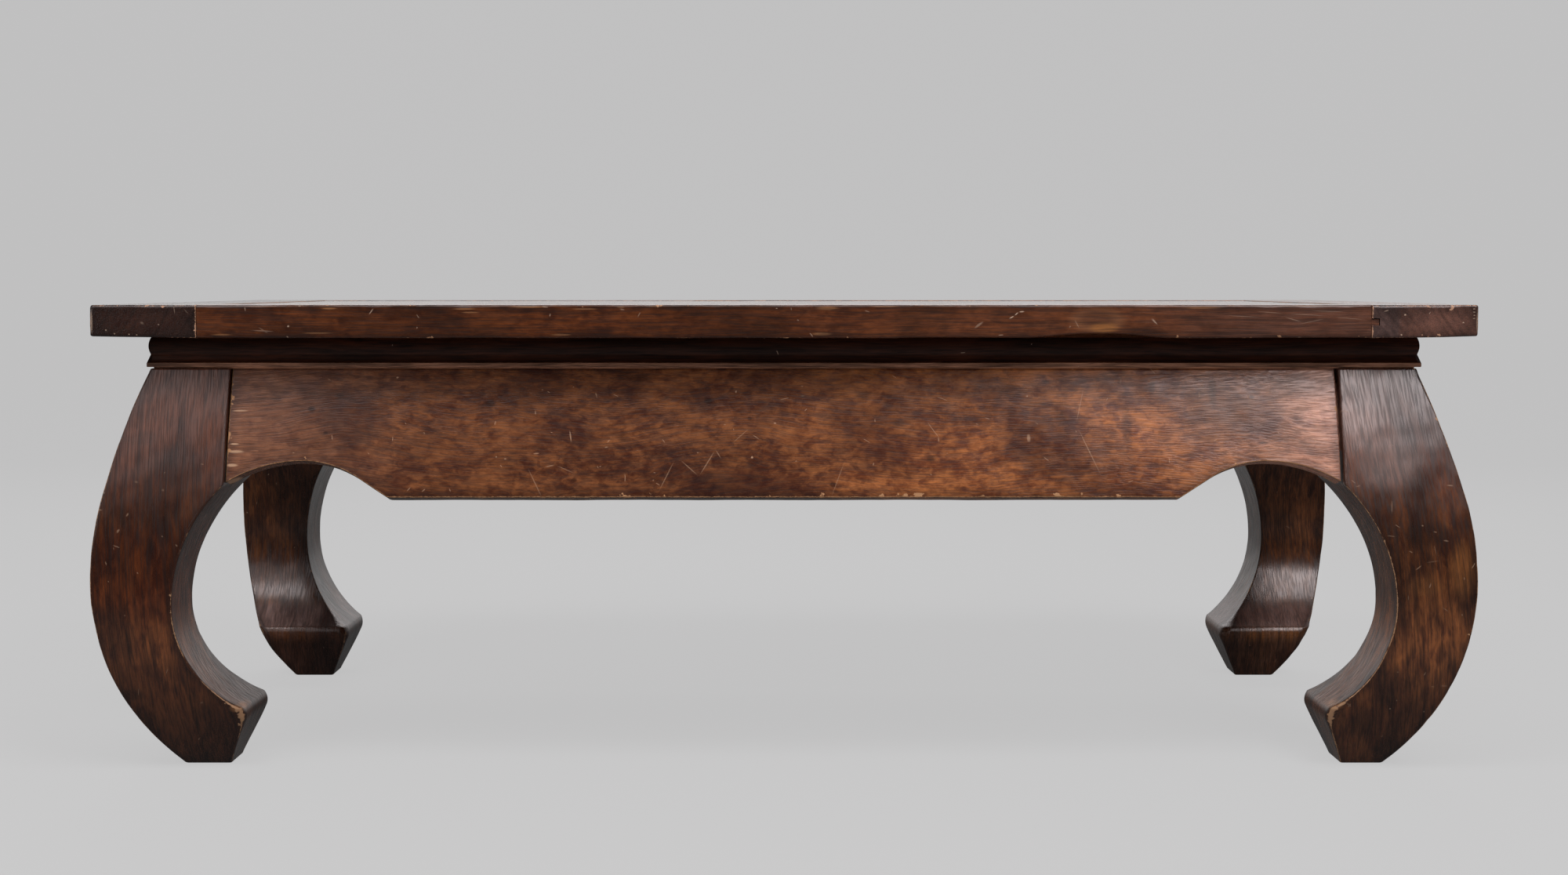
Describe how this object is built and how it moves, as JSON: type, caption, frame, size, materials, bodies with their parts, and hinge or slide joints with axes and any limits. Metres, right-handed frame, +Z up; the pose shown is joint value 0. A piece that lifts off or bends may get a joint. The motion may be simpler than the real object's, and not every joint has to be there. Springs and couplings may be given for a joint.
{
  "type": "kang table",
  "caption": "Low rectangular table with a framed plank top, a moulded waist, bulging bracket-edged aprons and drum legs that turn in at the feet.",
  "frame": {"origin": "on the floor, under the middle of the top", "axes": "+X along the table to its right end, +Y from the front to the back, +Z up"},
  "size_m": [1.208, 0.608, 0.414],
  "materials": {
    "rail_wood": "worn dark brown lacquer over reddish hardwood",
    "end_rail_wood": "worn dark brown lacquer on end grain",
    "panel_wood": "worn dark brown lacquer",
    "waist_wood": "dark brown lacquer",
    "apron_wood": "worn brown lacquer over figured hardwood",
    "leg_wood": "worn dark brown lacquer",
    "hidden_wood": "bare aged hardwood",
    "peg_wood": "bare aged hardwood"
  },
  "bodies": {
    "root": {"front_rail": "rail_wood", "back_rail": "rail_wood", "end_rail_left": "end_rail_wood", "end_rail_right": "end_rail_wood", "panel_front": "panel_wood", "panel_middle": "panel_wood", "panel_back": "panel_wood", "batten_left": "hidden_wood", "batten_middle": "hidden_wood", "batten_right": "hidden_wood", "waist_front": "waist_wood", "waist_back": "waist_wood", "waist_left": "waist_wood", "waist_right": "waist_wood", "apron_front": "apron_wood", "apron_back": "apron_wood", "apron_left": "apron_wood", "apron_right": "apron_wood", "leg_front_left": "leg_wood", "leg_front_right": "leg_wood", "leg_back_left": "leg_wood", "leg_back_right": "leg_wood", "leg_pegs": "peg_wood", "frame_pegs": "peg_wood"}
  },
  "joints": []
}
